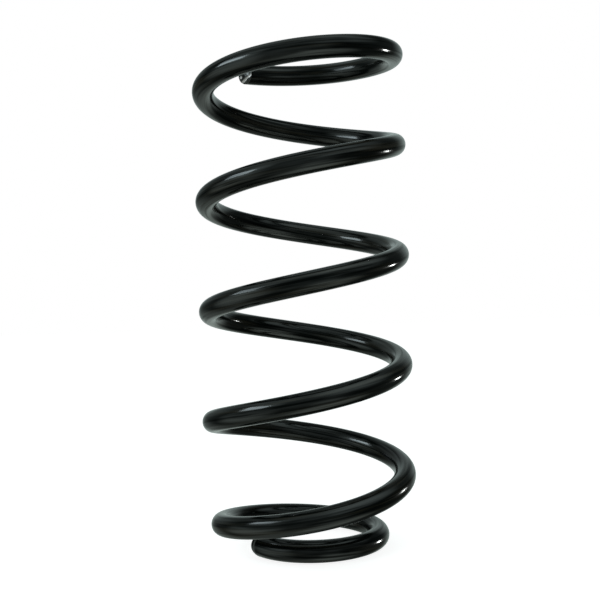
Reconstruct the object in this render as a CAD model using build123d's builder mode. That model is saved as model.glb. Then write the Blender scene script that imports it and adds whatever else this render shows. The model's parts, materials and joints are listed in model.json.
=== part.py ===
"""A suspension coil spring: one round steel bar, wound right-handed, standing on its lower end.

Every length is in millimetres. The coil's axis is +Z and the lower end lies on Z = 0. Places along
the bar are counted in turns about the axis: coil 1 starts at place 0, on the +X side, and the bar
climbs anticlockwise seen from above.

The bar is built as separate solids that meet face to face, so that it can shorten. The lower and
upper end coils lie in the two spring seats. Between them are quarter turns, each named by its coil,
counted upwards, and by the corner that it lies in: right is +X and back is +Y. The pieces meet in
the planes X = 0 and Y = 0. Those planes hold the coil's axis, so neighbours slide along them when
the spring is compressed and never cut into each other.
"""

from build123d import *
from math import ceil, cos, pi, sin
import os

# ---- Driving dimensions ----
BAR_DIAMETER = 13.0
COIL_MEAN_DIAMETER = 115.0
FREE_LENGTH = 304.0

COILS = 5                   # whole coils between the two end coils
LOWER_TIP_ANGLE = 207.5     # where the lower tip is, in degrees from +X, in the turn before coil 1
UPPER_TIP_ANGLE = 126.5     # where the upper tip is, in degrees from +X, in the turn after the last

PIGTAIL_TIP_RADIUS = 34.8   # from the coil's axis to the bar's centre, at the lower tip
PIGTAIL_TURNS = 1.26        # turns over which the lower end opens out to the full coil

LOWER_FLAT_TURNS = 0.395    # turns that lie level in the lower seat
LOWER_RAMP_TURNS = 0.9      # turns from level to the full pitch
UPPER_RAMP_TURNS = 0.645    # turns from the full pitch to level
UPPER_FLAT_TURNS = 0.205    # turns that lie level in the upper seat

TIP_BEVEL = 1.1             # bevel round each sheared end of the bar

# ---- Worked out from them ----
BAR_RADIUS = BAR_DIAMETER / 2
COIL_RADIUS = COIL_MEAN_DIAMETER / 2
LOWER_TIP = LOWER_TIP_ANGLE / 360 - 1
UPPER_TIP = UPPER_TIP_ANGLE / 360 + COILS
LOWER_RAMP_START = LOWER_TIP + LOWER_FLAT_TURNS
LOWER_RAMP_END = LOWER_RAMP_START + LOWER_RAMP_TURNS
UPPER_RAMP_END = UPPER_TIP - UPPER_FLAT_TURNS
UPPER_RAMP_START = UPPER_RAMP_END - UPPER_RAMP_TURNS
# A ramp climbs half as far as the same turns at the full pitch
CLIMBING_TURNS = (UPPER_RAMP_START + UPPER_RAMP_END - LOWER_RAMP_START - LOWER_RAMP_END) / 2
PITCH = (FREE_LENGTH - BAR_DIAMETER) / CLIMBING_TURNS

# ---- How the solids are made ----
CORNERS = ("back_right", "back_left", "front_left", "front_right")
SECTIONS_PER_TURN = 32      # round sections that the bar is lofted through
OVERRUN = 0.012             # turns that a piece runs past a meeting plane before it is trimmed
TANGENT_STEP = 1e-5         # turns to each side of a place, between which its direction is measured


def climb(place, ramp_start, ramp_end):
    """Turns of full pitch gained by this place, where the slope grows evenly over a ramp."""
    if place <= ramp_start:
        return 0.0
    if place >= ramp_end:
        return place - (ramp_start + ramp_end) / 2
    return (place - ramp_start) ** 2 / (2 * (ramp_end - ramp_start))


def bar_height(place):
    """Height of the bar's centre."""
    gained = climb(place, LOWER_RAMP_START, LOWER_RAMP_END)
    held_back = climb(place, UPPER_RAMP_START, UPPER_RAMP_END)
    return BAR_RADIUS + PITCH * (gained - held_back)


def bar_coil_radius(place):
    """Distance from the coil's axis to the bar's centre, which eases out over the pigtail."""
    opened = min(1.0, max(0.0, (place - LOWER_TIP) / PIGTAIL_TURNS))
    return PIGTAIL_TIP_RADIUS + (COIL_RADIUS - PIGTAIL_TIP_RADIUS) * (1 - cos(pi * opened)) / 2


def bar_point(place):
    angle = 2 * pi * place
    radius = bar_coil_radius(place)
    return Vector(radius * cos(angle), radius * sin(angle), bar_height(place))


def section_plane(place):
    """The plane square to the bar at this place, facing up along it."""
    direction = bar_point(place + TANGENT_STEP) - bar_point(place - TANGENT_STEP)
    return Plane(bar_point(place), x_dir=direction.cross(Vector(0, 0, 1)), z_dir=direction)


def meeting_plane(place, facing):
    """The upright plane through the coil's axis at this place. Facing is 1 up the bar, -1 down it."""
    ahead = Vector(0, facing, 0).rotate(Axis.Z, 360 * place)
    return Plane(bar_point(place), x_dir=(0, 0, 1), z_dir=ahead)


def bevel_tip(place, facing):
    """Takes the edge off the sheared end at this place. Facing is 1 at the upper tip, -1 at the lower."""
    square = section_plane(place)
    outward = square.z_dir * facing
    with BuildSketch(Plane(square.origin, x_dir=square.x_dir, z_dir=square.x_dir.cross(outward))) as edge:
        with BuildLine():
            Polyline(
                (BAR_RADIUS - 2 * TIP_BEVEL, TIP_BEVEL),
                (BAR_RADIUS + TIP_BEVEL, TIP_BEVEL),
                (BAR_RADIUS + TIP_BEVEL, -2 * TIP_BEVEL),
                close=True,
            )
        make_face()
    revolve(edge.sketch, axis=Axis(square.origin, outward), mode=Mode.SUBTRACT)


def trim_end(place, facing):
    """Takes off what runs past the meeting plane at this place."""
    with Locations(meeting_plane(place, facing)):
        Box(2 * BAR_DIAMETER, 2 * BAR_DIAMETER, BAR_DIAMETER,
            align=(Align.CENTER, Align.CENTER, Align.MIN), mode=Mode.SUBTRACT)


def bar_piece(start, end):
    """The bar between two places: bevelled at its own tips, trimmed where it meets a neighbour."""
    first = start if start == LOWER_TIP else start - OVERRUN
    last = end if end == UPPER_TIP else end + OVERRUN
    spans = ceil(SECTIONS_PER_TURN * (end - start))
    with BuildPart() as piece:
        for span in range(spans + 1):
            with BuildSketch(section_plane(first + (last - first) * span / spans)):
                Circle(BAR_RADIUS)
        loft()
        if start == LOWER_TIP:
            bevel_tip(start, -1)
        else:
            trim_end(start, -1)
        if end == UPPER_TIP:
            bevel_tip(end, 1)
        else:
            trim_end(end, 1)
    return piece


def write(piece, name):
    piece.part.label = name
    export_step(piece.part, f"parts/{name}.step")
    print(name, "volume", round(piece.part.volume), "valid", piece.part.is_valid)


os.makedirs("parts", exist_ok=True)

# ---- Lower end coil: the pigtail that lies in the lower seat ----
lower_end_coil = bar_piece(LOWER_TIP, 0)
write(lower_end_coil, "lower_end_coil")

# ---- Quarter turns between the end coils ----
for coil in range(COILS):
    for quarter, corner in enumerate(CORNERS):
        quarter_start = coil + quarter / 4
        quarter_turn = bar_piece(quarter_start, quarter_start + 1 / 4)
        write(quarter_turn, f"coil_{coil + 1}_{corner}")

# ---- Upper end coil: the level end that lies in the upper seat ----
upper_end_coil = bar_piece(COILS, UPPER_TIP)
write(upper_end_coil, "upper_end_coil")
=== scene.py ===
"""A gloss black suspension coil spring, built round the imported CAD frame. Lengths are in metres.

The real spring is one bar, and the CAD divides it into stretches only so that it can shorten. Here
the bar is one smooth mesh again, which closes up evenly as the stretches slide.
"""

import json
import math

import bpy
import numpy as np
from mathutils import Matrix, Vector


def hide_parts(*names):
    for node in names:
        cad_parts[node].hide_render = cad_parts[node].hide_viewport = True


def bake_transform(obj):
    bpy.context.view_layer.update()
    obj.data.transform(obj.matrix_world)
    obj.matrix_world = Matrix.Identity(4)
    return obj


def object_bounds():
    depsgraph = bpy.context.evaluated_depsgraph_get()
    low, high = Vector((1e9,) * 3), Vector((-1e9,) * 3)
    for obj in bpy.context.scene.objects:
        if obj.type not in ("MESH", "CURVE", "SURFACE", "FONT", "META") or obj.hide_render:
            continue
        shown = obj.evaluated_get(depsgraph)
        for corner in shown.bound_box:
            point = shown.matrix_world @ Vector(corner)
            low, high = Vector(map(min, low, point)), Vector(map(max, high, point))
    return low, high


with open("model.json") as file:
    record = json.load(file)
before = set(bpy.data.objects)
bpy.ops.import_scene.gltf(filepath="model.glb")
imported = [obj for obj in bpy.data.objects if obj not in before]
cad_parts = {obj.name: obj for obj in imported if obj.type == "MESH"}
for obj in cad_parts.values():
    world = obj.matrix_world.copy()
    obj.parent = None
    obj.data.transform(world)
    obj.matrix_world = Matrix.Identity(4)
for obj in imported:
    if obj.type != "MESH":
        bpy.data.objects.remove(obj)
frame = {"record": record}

cad_low, cad_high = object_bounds()

# ---- Sizes of the bar, as in the CAD. Places along it are turns about the axis from +X. ----
BAR_RADIUS = 0.0065
FREE_LENGTH = cad_high[2] - cad_low[2]
COIL_RADIUS = (cad_high[0] - cad_low[0]) / 2 - BAR_RADIUS
LOWER_TIP = 207.5 / 360 - 1
UPPER_TIP = 126.5 / 360 + 5
PIGTAIL_TIP_RADIUS = 0.0348
PIGTAIL_TURNS = 1.26        # turns over which the lower end opens out to the full coil
LOWER_RAMP_START = LOWER_TIP + 0.395
LOWER_RAMP_END = LOWER_RAMP_START + 0.9
UPPER_RAMP_END = UPPER_TIP - 0.205
UPPER_RAMP_START = UPPER_RAMP_END - 0.645
CLIMBING_TURNS = (UPPER_RAMP_START + UPPER_RAMP_END - LOWER_RAMP_START - LOWER_RAMP_END) / 2
PITCH = (FREE_LENGTH - 2 * BAR_RADIUS) / CLIMBING_TURNS
TIP_BEVEL = 0.0011

# ---- Fineness of the mesh ----
SECTIONS_PER_TURN = 160
POINTS_ROUND = 48
BEVEL_SECTIONS = 8
FACE_RINGS = 12

# ---- A sheared face: slanted, rolled over where the blade went in, and stepped where the bar broke ----
# Headings on the face are (outward, up)
SHEAR_SLANT = 0.0014        # how far the outer side of the face stands past its inner side
SLANT_SHIFT = 0.35          # how far inward of the middle, in bar radii, the slant stands at zero
SHEAR_ROLL = 0.0010         # how far the face rolls back at its upper inner side
ROLL_HEADING = (-0.60, 0.80)    # towards the side that rolls back
ROLL_SHIFT = 0.2            # how far short of the middle, in bar radii, the face starts to roll
BREAK_HEADING = (-0.45, -0.89)  # towards the broken part
SHEAR_STEP = 0.0007         # height of the step down to the broken part
SHEAR_STEP_WIDTH = 0.0009
SHEAR_STEP_SIDE = 0.0026    # from the middle of the face to the step
TORN_RELIEF = 0.00008       # roughness of the broken part, and its waves in radians per metre
TORN_OUTWARD = 2900
TORN_UP = 2300
TORN_SKEW = 900
CHIPPED_WIDTH = 0.0008      # half width of the strip along the step where the coat has chipped off
LIP_PLACE = (0.0032, -0.0018)
LIP_SIZE = 0.0015           # half width of the patch of chipped coat on the cut's lip
LIP_FLATNESS = 1.4
LOWER_ROLL = 0.0040         # length over which the lower tip is rolled over to its sheared face
PAINTED_HIGHLIGHT_WIDTH = 0.0005          # width of a painted highlight: a pale line painted just behind the rolled edge, where light catches the corner
PAINTED_HIGHLIGHT_EDGE = 0.15            # value of the edge attribute where the painted highlight line is palest

TANGENT_STEP = 1e-5         # turns to each side of a place, between which its direction is measured


def climb(place, ramp_start, ramp_end):
    """Turns of full pitch gained by this place, where the slope grows evenly over a ramp."""
    if place <= ramp_start:
        return 0.0
    if place >= ramp_end:
        return place - (ramp_start + ramp_end) / 2
    return (place - ramp_start) ** 2 / (2 * (ramp_end - ramp_start))


def height(place, pitch=PITCH, upper_ramp_start=UPPER_RAMP_START):
    gained = climb(place, LOWER_RAMP_START, LOWER_RAMP_END)
    held_back = climb(place, upper_ramp_start, UPPER_RAMP_END)
    return BAR_RADIUS + pitch * (gained - held_back)


def centre(place):
    angle = 2 * math.pi * place
    opened = min(1.0, max(0.0, (place - LOWER_TIP) / PIGTAIL_TURNS))
    opening = (COIL_RADIUS - PIGTAIL_TIP_RADIUS) * (1 - math.cos(math.pi * opened)) / 2
    radius = PIGTAIL_TIP_RADIUS + opening
    return Vector((radius * math.cos(angle), radius * math.sin(angle), height(place)))


def direction(place):
    return (centre(place + TANGENT_STEP) - centre(place - TANGENT_STEP)).normalized()


# ---- The bar ----
def section(place, advance, radius, edge=0.0, face=0.0):
    """One section of the bar. Advance is how far it lies past its place; edge and face are 1 at the
    rolled edge and on the sheared face of a tip."""
    middle = centre(place) + direction(place) * advance
    return {"place": place, "middle": middle, "radius": radius, "edge": edge, "face": face}


def tip_sections(place, outward, roll):
    """Sections from near the middle of a sheared face out to its rim and over the rolled edge."""
    face_radius = BAR_RADIUS - TIP_BEVEL
    found = []
    for ring in range(1, FACE_RINGS):
        found.append(section(place, 0.0, face_radius * ring / FACE_RINGS, face=outward))
    for step in range(BEVEL_SECTIONS):
        angle = math.pi / 2 * step / BEVEL_SECTIONS
        back = roll * (1 - math.cos(angle))
        radius = face_radius + TIP_BEVEL * math.sin(angle)
        # The rolled edge keeps at least the value where the painted highlight line is palest
        edge = max(PAINTED_HIGHLIGHT_EDGE, math.sqrt(math.cos(angle)))
        found.append(section(place, -outward * back, radius, edge, outward * math.cos(angle)))
    found.append(section(place, -outward * roll, BAR_RADIUS, PAINTED_HIGHLIGHT_EDGE))
    return found


def bar_sections():
    """Every section, from the lower sheared face to the upper one."""
    # The body starts past each rolled edge and the painted highlight line just behind it
    start = LOWER_TIP + (LOWER_ROLL + PAINTED_HIGHLIGHT_WIDTH) / (2 * math.pi * PIGTAIL_TIP_RADIUS)
    end = UPPER_TIP - (TIP_BEVEL + PAINTED_HIGHLIGHT_WIDTH) / (2 * math.pi * COIL_RADIUS)
    steps = round((end - start) * SECTIONS_PER_TURN)
    body = [section(start + (end - start) * step / steps, 0.0, BAR_RADIUS) for step in range(steps + 1)]
    return tip_sections(LOWER_TIP, -1, LOWER_ROLL) + body + tip_sections(UPPER_TIP, 1, TIP_BEVEL)[::-1]


def smooth(share):
    share = min(1.0, max(0.0, share))
    return share * share * (3 - 2 * share)


def reach(heading, x, y):
    """How far this point of a face lies in a heading from the middle."""
    return heading[0] * x + heading[1] * y


def shear_break(x, y):
    """1 on the broken part of a sheared face and 0 where the blade cut it. X is outward, y is up."""
    return smooth((reach(BREAK_HEADING, x, y) - SHEAR_STEP_SIDE) / SHEAR_STEP_WIDTH)


def shear_relief(x, y):
    """How far this point of a sheared face stands out from the square end of the bar."""
    slant = SHEAR_SLANT * (x / BAR_RADIUS + SLANT_SHIFT) / 2
    roll = SHEAR_ROLL * smooth(reach(ROLL_HEADING, x, y) / BAR_RADIUS + ROLL_SHIFT)
    torn = TORN_RELIEF * math.sin(x * TORN_OUTWARD) * math.sin(y * TORN_UP + x * TORN_SKEW)
    return slant - roll - (SHEAR_STEP + torn) * shear_break(x, y)


def bare_steel(part, x, y):
    """1 where the coat has chipped off the sharp parts of a sheared end: the break and the cut's lip."""
    if part["face"] == 0:
        return 0.0
    from_break = (reach(BREAK_HEADING, x, y) - SHEAR_STEP_SIDE - SHEAR_STEP_WIDTH) / CHIPPED_WIDTH
    from_lip = math.hypot(x - LIP_PLACE[0], (y - LIP_PLACE[1]) * LIP_FLATNESS) / LIP_SIZE
    return max(math.exp(-from_break**2), math.exp(-(from_lip**4)))


def make_bar():
    """The whole bar as one closed mesh of rings, with a middle point in each sheared face."""
    sections = bar_sections()
    points, places, straightened, edges, bares = [], [], [], [], []
    run = 0.0
    for index, part in enumerate(sections):
        along = direction(part["place"])
        out = along.cross(Vector((0, 0, 1))).normalized()
        up = out.cross(along)
        if index:
            run += (part["middle"] - sections[index - 1]["middle"]).length
        for point in range(POINTS_ROUND):
            angle = 2 * math.pi * point / POINTS_ROUND
            x, y = part["radius"] * math.cos(angle), part["radius"] * math.sin(angle)
            relief = along * part["face"] * shear_relief(x, y)
            points.append(part["middle"] + out * x + up * y + relief)
            places.append(part["place"])
            straightened.append((run, x, y))
            edges.append(part["edge"])
            bares.append(bare_steel(part, x, y))
    faces = []
    for ring in range(len(sections) - 1):
        for point in range(POINTS_ROUND):
            a = ring * POINTS_ROUND + point
            b = ring * POINTS_ROUND + (point + 1) % POINTS_ROUND
            faces.append((a, b, b + POINTS_ROUND, a + POINTS_ROUND))
    last_ring = (len(sections) - 1) * POINTS_ROUND
    for place, outward, first in ((LOWER_TIP, -1, 0), (UPPER_TIP, 1, last_ring)):
        middle = len(points)
        points.append(centre(place) + direction(place) * outward * shear_relief(0, 0))
        places.append(place)
        straightened.append((0.0 if outward < 0 else run, 0.0, 0.0))
        edges.append(0.0)
        bares.append(0.0)
        for point in range(POINTS_ROUND):
            a, b = first + point, first + (point + 1) % POINTS_ROUND
            faces.append((middle, b, a) if outward < 0 else (middle, a, b))
    mesh = bpy.data.meshes.new("spring_bar")
    mesh.from_pydata(points, [], faces)
    mesh.update()
    mesh.polygons.foreach_set("use_smooth", [True] * len(mesh.polygons))
    along_bar = mesh.attributes.new("along_bar", "FLOAT_VECTOR", "POINT")
    along_bar.data.foreach_set("vector", np.array(straightened, np.float32).ravel())
    for name, values in (("rolled_edge", edges), ("bare_steel", bares)):
        mesh.attributes.new(name, "FLOAT", "POINT").data.foreach_set("value", np.array(values, np.float32))
    bar = bpy.data.objects.new("spring_bar", mesh)
    bpy.context.scene.collection.objects.link(bar)
    return bar, places


# ---- Coat ----
DARKEST_BLACK = (0.0007, 0.0014, 0.0012)
PALEST_BLACK = (0.0016, 0.0030, 0.0026)
BROWNISH_BAND = (0.028, 0.024, 0.017)
DUST = (0.016, 0.018, 0.017)
# Colour of the painted highlight line at the rolled edge
PAINTED_EDGE_HIGHLIGHT = (0.24, 0.23, 0.225)
STEEL = (0.50, 0.46, 0.45)
STEEL_METALLIC = 0.75
CLEAR_ROUGHNESS = 0.07
HAZY_ROUGHNESS = 0.20
SCUFF_ROUGHNESS = 0.10      # added on a scuff
CHIPPED_ROUGHNESS = 0.25    # added where the coat has chipped
MATT_SPECULAR = 0.10        # in the matt lines
GLOSSY_SPECULAR = 0.74      # between them
PLAIN_SPECULAR = 0.46       # plain value left on the socket under the lines; for an export that can't follow the lines
COAT_IOR = 1.5
SAG_DEPTH = 0.0005
DRAWN_DEPTH = 0.0004
PEEL_DEPTH = 0.00004


def new_material(name):
    material = bpy.data.materials.new(name)
    material.use_nodes = True
    nodes = material.node_tree.nodes
    nodes.clear()
    output = nodes.new("ShaderNodeOutputMaterial")
    shader = nodes.new("ShaderNodeBsdfPrincipled")
    material.node_tree.links.new(shader.outputs["BSDF"], output.inputs["Surface"])
    return material, shader


def noise(material, vector, scale, detail=3.0, roughness=0.5):
    node = material.node_tree.nodes.new("ShaderNodeTexNoise")
    node.inputs["Scale"].default_value = scale
    node.inputs["Detail"].default_value = detail
    node.inputs["Roughness"].default_value = roughness
    material.node_tree.links.new(vector, node.inputs["Vector"])
    return node.outputs["Fac"]


def ramp(material, value, stops):
    node = material.node_tree.nodes.new("ShaderNodeValToRGB")
    elements = node.color_ramp.elements
    while len(elements) < len(stops):
        elements.new(0.5)
    for element, (position, colour) in zip(elements, stops):
        element.position = position
        element.color = (*colour, 1.0)
    material.node_tree.links.new(value, node.inputs["Fac"])
    return node.outputs["Color"]


def remap(material, value, low, high):
    node = material.node_tree.nodes.new("ShaderNodeMapRange")
    node.inputs["To Min"].default_value = low
    node.inputs["To Max"].default_value = high
    material.node_tree.links.new(value, node.inputs["Value"])
    return node.outputs["Result"]


def mask(material, value, start, full):
    """0 up to the start, rising to 1 at full."""
    return ramp(material, value, ((start, (0.0, 0.0, 0.0)), (full, (1.0, 1.0, 1.0))))


def drawn_out(material, vector, squeeze):
    """The bar's straightened coordinates, squeezed lengthwise so that a pattern runs along the bar."""
    node = material.node_tree.nodes.new("ShaderNodeMapping")
    node.inputs["Scale"].default_value = (squeeze, 1.0, 1.0)
    material.node_tree.links.new(vector, node.inputs["Vector"])
    return node.outputs["Vector"]


def bump(material, height_value, distance, strength, below=None):
    node = material.node_tree.nodes.new("ShaderNodeBump")
    node.inputs["Distance"].default_value = distance
    node.inputs["Strength"].default_value = strength
    material.node_tree.links.new(height_value, node.inputs["Height"])
    if below is not None:
        material.node_tree.links.new(below, node.inputs["Normal"])
    return node.outputs["Normal"]


def blend_colour(material, share, coat, over):
    """The coat's colour, with a plain colour over it where the share is 1."""
    node = material.node_tree.nodes.new("ShaderNodeMix")
    node.data_type = "RGBA"
    material.node_tree.links.new(share, node.inputs[0])
    material.node_tree.links.new(coat, node.inputs[6])
    node.inputs[7].default_value = (*over, 1.0)
    return node.outputs[2]


def arithmetic(material, operation, first, second):
    node = material.node_tree.nodes.new("ShaderNodeMath")
    node.operation = operation
    material.node_tree.links.new(first, node.inputs[0])
    material.node_tree.links.new(second, node.inputs[1])
    return node.outputs["Value"]


def attribute(material, name, output):
    node = material.node_tree.nodes.new("ShaderNodeAttribute")
    node.attribute_name = name
    return node.outputs[output]


def powder_coat():
    """Gloss black powder coat: a flowed skin with slight orange peel, over a drawn bar."""
    material, shader = new_material("gloss_black_powder_coat")
    links = material.node_tree.links
    straight = attribute(material, "along_bar", "Vector")
    edge = attribute(material, "rolled_edge", "Fac")
    bare = attribute(material, "bare_steel", "Fac")

    # Coating: uneven black with long brownish bands, and a few paler specks of dust
    cloud = noise(material, drawn_out(material, straight, 0.3), 70.0, 3.0, 0.6)
    black = ramp(material, cloud, ((0.3, DARKEST_BLACK), (0.7, PALEST_BLACK)))
    bands = noise(material, drawn_out(material, straight, 0.04), 420.0, 3.0, 0.6)
    banded = blend_colour(material, mask(material, bands, 0.50, 0.72), black, BROWNISH_BAND)
    specks = mask(material, noise(material, straight, 900.0, 1.0), 0.77, 0.81)
    dusty = blend_colour(material, specks, banded, DUST)

    # Ends: a thin pale line painted at the rolled edge as a painted highlight where light catches the
    # corner, and steel where the coat has chipped
    highlight_stops = ((0.0, (0.0, 0.0, 0.0)), (PAINTED_HIGHLIGHT_EDGE, (1.0, 1.0, 1.0)), (0.45, (0.0, 0.0, 0.0)))
    wear_and_highlight_noise = noise(material, straight, 650.0, 4.0, 0.65)
    # The painted highlight line is made patchy with the same noise as the chipped coat
    patchy_highlight = ramp(material, wear_and_highlight_noise, ((0.36, (0.3, 0.3, 0.3)), (0.50, (1.0, 1.0, 1.0))))
    painted_highlight = arithmetic(material, "MULTIPLY", ramp(material, edge, highlight_stops), patchy_highlight)
    highlighted = blend_colour(material, painted_highlight, dusty, PAINTED_EDGE_HIGHLIGHT)
    chip_value = arithmetic(material, "MULTIPLY", bare, remap(material, wear_and_highlight_noise, 0.55, 1.45))
    chipped = mask(material, chip_value, 0.40, 0.62)
    links.new(blend_colour(material, chipped, highlighted, STEEL), shader.inputs["Base Color"])
    links.new(remap(material, chipped, 0.0, STEEL_METALLIC), shader.inputs["Metallic"])

    # Gloss: smooth, with long faint bands of haze that run along the bar, and fine scuffs
    haze = noise(material, drawn_out(material, straight, 0.12), 230.0)
    hazy = remap(material, haze, CLEAR_ROUGHNESS, HAZY_ROUGHNESS)
    scuffs = noise(material, drawn_out(material, straight, 0.3), 1400.0, 3.0, 0.6)
    scuffed = remap(material, mask(material, scuffs, 0.62, 0.75), 0.0, SCUFF_ROUGHNESS)
    worn = remap(material, chipped, 0.0, CHIPPED_ROUGHNESS)
    gloss = arithmetic(material, "ADD", arithmetic(material, "ADD", hazy, scuffed), worn)
    links.new(gloss, shader.inputs["Roughness"])

    # Sheen: thin matt lines left in the coat along the bar take some of the reflection away
    streaks = noise(material, drawn_out(material, straight, 0.03), 480.0, 3.0, 0.6)
    sheen = ramp(material, streaks, ((0.40, (MATT_SPECULAR,) * 3), (0.60, (GLOSSY_SPECULAR,) * 3)))
    shader.inputs["Specular IOR Level"].default_value = PLAIN_SPECULAR
    links.new(sheen, shader.inputs["Specular IOR Level"])
    shader.inputs["IOR"].default_value = COAT_IOR

    # Shape under the coat: sags along the bar, flats and lines left by drawing, orange peel on top
    sag = noise(material, drawn_out(material, straight, 0.35), 90.0, 1.0)
    normal = bump(material, sag, SAG_DEPTH, 0.4)
    drawn = noise(material, drawn_out(material, straight, 0.02), 260.0, 0.6)
    normal = bump(material, drawn, DRAWN_DEPTH, 0.8, normal)
    peel = noise(material, straight, 620.0, 2.0, 0.45)
    normal = bump(material, peel, PEEL_DEPTH, 0.2, normal)
    links.new(normal, shader.inputs["Normal"])
    return material


# ---- Studio ----
ROOM_BASE = 0.06            # what every side of the room gives
# Pale sides: azimuth from straight towards the camera, positive to its right; elevation; spread;
# all in degrees; and strength
ROOM_SIDES = (
    (-72, -13, 45, 0.54),
    (-64, 28, 29, 0.49),
    (60, 54, 44, 0.50),
    (-60, 82, 55, 0.32),
    (47, -55, 39, 0.62),
    (-30, -78, 50, 0.25),
    (0, 2, 55, 0.17),
    (27, 22, 18, 0.20),
    (24, -24, 22, 0.24),
    (168, 0, 44, 0.44),
    (-158, -32, 36, 0.20),
    (-155, 34, 45, 0.17),
)
ROOM_TINT_LOW = (0.87, 1.0, 0.91)
ROOM_TINT_HIGH = (0.83, 1.0, 0.97)
ROOM_TINT_LOW_RISE = 0.15   # share of the way up from straight down, where the lower tint ends
ROOM_TINT_HIGH_RISE = 0.60  # and where the upper one begins
FLOOR_SIZE = 6.0
FLOOR_COLOUR = (0.55, 0.55, 0.55)
FLOOR_GLOW = 0.87


def sky_lobe(tree, aim, azimuth, elevation, spread, strength):
    """Light from one side of the room: strongest in one direction and fading round it."""
    turn, rise = math.radians(azimuth), math.radians(elevation)
    towards = (math.sin(turn) * math.cos(rise), -math.cos(turn) * math.cos(rise), math.sin(rise))
    dot = tree.nodes.new("ShaderNodeVectorMath")
    dot.operation = "DOT_PRODUCT"
    dot.inputs[1].default_value = towards
    tree.links.new(aim, dot.inputs[0])
    fade = tree.nodes.new("ShaderNodeMapRange")
    fade.interpolation_type = "SMOOTHSTEP"
    fade.inputs["From Min"].default_value = math.cos(math.radians(spread))
    fade.inputs["From Max"].default_value = 1.0
    fade.inputs["To Min"].default_value = 0.0
    fade.inputs["To Max"].default_value = strength
    tree.links.new(dot.outputs["Value"], fade.inputs["Value"])
    return fade.outputs["Result"]


def light_room():
    """A dim room with a few pale sides, which the camera sees as a plain white sweep."""
    world = bpy.data.worlds.new("studio")
    world.use_nodes = True
    tree = world.node_tree
    tree.nodes.clear()
    aim = tree.nodes.new("ShaderNodeTexCoord").outputs["Generated"]
    total = None
    for lobe in ROOM_SIDES:
        add = tree.nodes.new("ShaderNodeMath")
        add.operation = "ADD"
        add.inputs[0].default_value = ROOM_BASE
        if total is not None:
            tree.links.new(total, add.inputs[0])
        tree.links.new(sky_lobe(tree, aim, *lobe), add.inputs[1])
        total = add.outputs["Value"]
    split = tree.nodes.new("ShaderNodeSeparateXYZ")
    tree.links.new(aim, split.inputs["Vector"])
    rise = tree.nodes.new("ShaderNodeMapRange")
    rise.inputs["From Min"].default_value = -1.0
    tree.links.new(split.outputs["Z"], rise.inputs["Value"])
    tint = tree.nodes.new("ShaderNodeValToRGB")
    elements = tint.color_ramp.elements
    elements[0].position, elements[0].color = ROOM_TINT_LOW_RISE, (*ROOM_TINT_LOW, 1.0)
    elements[1].position, elements[1].color = ROOM_TINT_HIGH_RISE, (*ROOM_TINT_HIGH, 1.0)
    tree.links.new(rise.outputs["Result"], tint.inputs["Fac"])
    room = tree.nodes.new("ShaderNodeBackground")
    tree.links.new(tint.outputs["Color"], room.inputs["Color"])
    tree.links.new(total, room.inputs["Strength"])
    sweep = tree.nodes.new("ShaderNodeBackground")
    sweep.inputs["Color"].default_value = (1.0, 1.0, 1.0, 1.0)
    path = tree.nodes.new("ShaderNodeLightPath")
    mix = tree.nodes.new("ShaderNodeMixShader")
    tree.links.new(path.outputs["Is Camera Ray"], mix.inputs["Fac"])
    tree.links.new(room.outputs["Background"], mix.inputs[1])
    tree.links.new(sweep.outputs["Background"], mix.inputs[2])
    output = tree.nodes.new("ShaderNodeOutputWorld")
    tree.links.new(mix.outputs["Shader"], output.inputs["Surface"])
    bpy.context.scene.world = world


def area_light(name, place, width, tall, radiance, colour):
    """A soft light that faces the middle of the spring."""
    towards = Vector(place) - Vector((0, 0, FREE_LENGTH / 2))
    light = bpy.data.lights.new(name, "AREA")
    light.shape = "RECTANGLE"
    light.size = width
    light.size_y = tall
    light.energy = radiance * math.pi * width * tall
    light.color = colour
    lamp = bpy.data.objects.new(name, light)
    lamp.location = place
    lamp.rotation_euler = towards.to_track_quat("Z", "Y").to_euler()
    bpy.context.scene.collection.objects.link(lamp)


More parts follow.
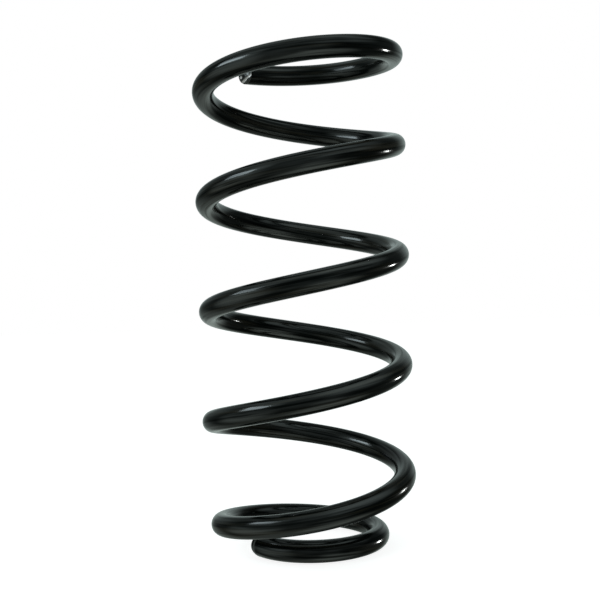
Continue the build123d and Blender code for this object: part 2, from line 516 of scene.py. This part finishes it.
def make_floor():
    """White paper under the spring. The light that the spring gets from below comes from the room."""
    mesh = bpy.data.meshes.new("studio_floor")
    half = FLOOR_SIZE / 2
    corners = [(-half, -half, 0), (half, -half, 0), (half, half, 0), (-half, half, 0)]
    mesh.from_pydata(corners, [], [(0, 1, 2, 3)])
    floor = bpy.data.objects.new("studio_floor", mesh)
    bpy.context.scene.collection.objects.link(floor)
    material = bpy.data.materials.new("pale_floor")
    material.use_nodes = True
    tree = material.node_tree
    tree.nodes.clear()
    paper = tree.nodes.new("ShaderNodeBsdfDiffuse")
    paper.inputs["Color"].default_value = (*FLOOR_COLOUR, 1.0)
    glow = tree.nodes.new("ShaderNodeEmission")
    glow.inputs["Strength"].default_value = FLOOR_GLOW
    both = tree.nodes.new("ShaderNodeAddShader")
    tree.links.new(paper.outputs["BSDF"], both.inputs[0])
    tree.links.new(glow.outputs["Emission"], both.inputs[1])
    clear = tree.nodes.new("ShaderNodeBsdfTransparent")
    path = tree.nodes.new("ShaderNodeLightPath")
    mix = tree.nodes.new("ShaderNodeMixShader")
    tree.links.new(path.outputs["Is Camera Ray"], mix.inputs["Fac"])
    tree.links.new(clear.outputs["BSDF"], mix.inputs[1])
    tree.links.new(both.outputs["Shader"], mix.inputs[2])
    output = tree.nodes.new("ShaderNodeOutputMaterial")
    tree.links.new(mix.outputs["Shader"], output.inputs["Surface"])
    mesh.materials.append(material)


CAMERA_PLACE = (-0.0024, -0.6351, 0.1621)
CAMERA_DIP = 0.208          # degrees that it looks down
CAMERA_ROLL = -1.846        # degrees about the line of sight
CAMERA_SENSOR = 36.0        # millimetres, like the lens
CAMERA_LENS = 62.75
CAMERA_SHIFT = -0.0262      # frames, upward


def make_camera():
    """The photograph's view: level with the middle of the spring, and turned slightly clockwise."""
    camera = bpy.data.cameras.new("camera")
    camera.sensor_width = CAMERA_SENSOR
    camera.lens = CAMERA_LENS
    camera.shift_y = CAMERA_SHIFT
    shot = bpy.data.objects.new("camera", camera)
    shot.matrix_world = (
        Matrix.Translation(CAMERA_PLACE)
        @ Matrix.Rotation(math.radians(90 - CAMERA_DIP), 4, "X")
        @ Matrix.Rotation(math.radians(CAMERA_ROLL), 4, "Z")
    )
    bpy.context.scene.collection.objects.link(shot)
    bpy.context.scene.camera = shot


# ---- Build ----
bar, bar_places = make_bar()
bar.data.materials.append(powder_coat())
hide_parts(*[node for nodes in frame["record"]["behaviour"]["bodies"].values() for node in nodes])
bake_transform(bar)

make_floor()
light_room()
area_light(
    "key_softbox", place=(-0.655, -0.190, 0.540), width=0.42, tall=0.25, radiance=4.4,
    colour=(0.80, 0.95, 1.0),
)
area_light(
    "small_window", place=(1.85, 0.75, -0.10), width=0.27, tall=0.19, radiance=55.0,
    colour=(0.96, 1.0, 0.97),
)
make_camera()
bpy.context.scene.view_settings.view_transform = "Standard"
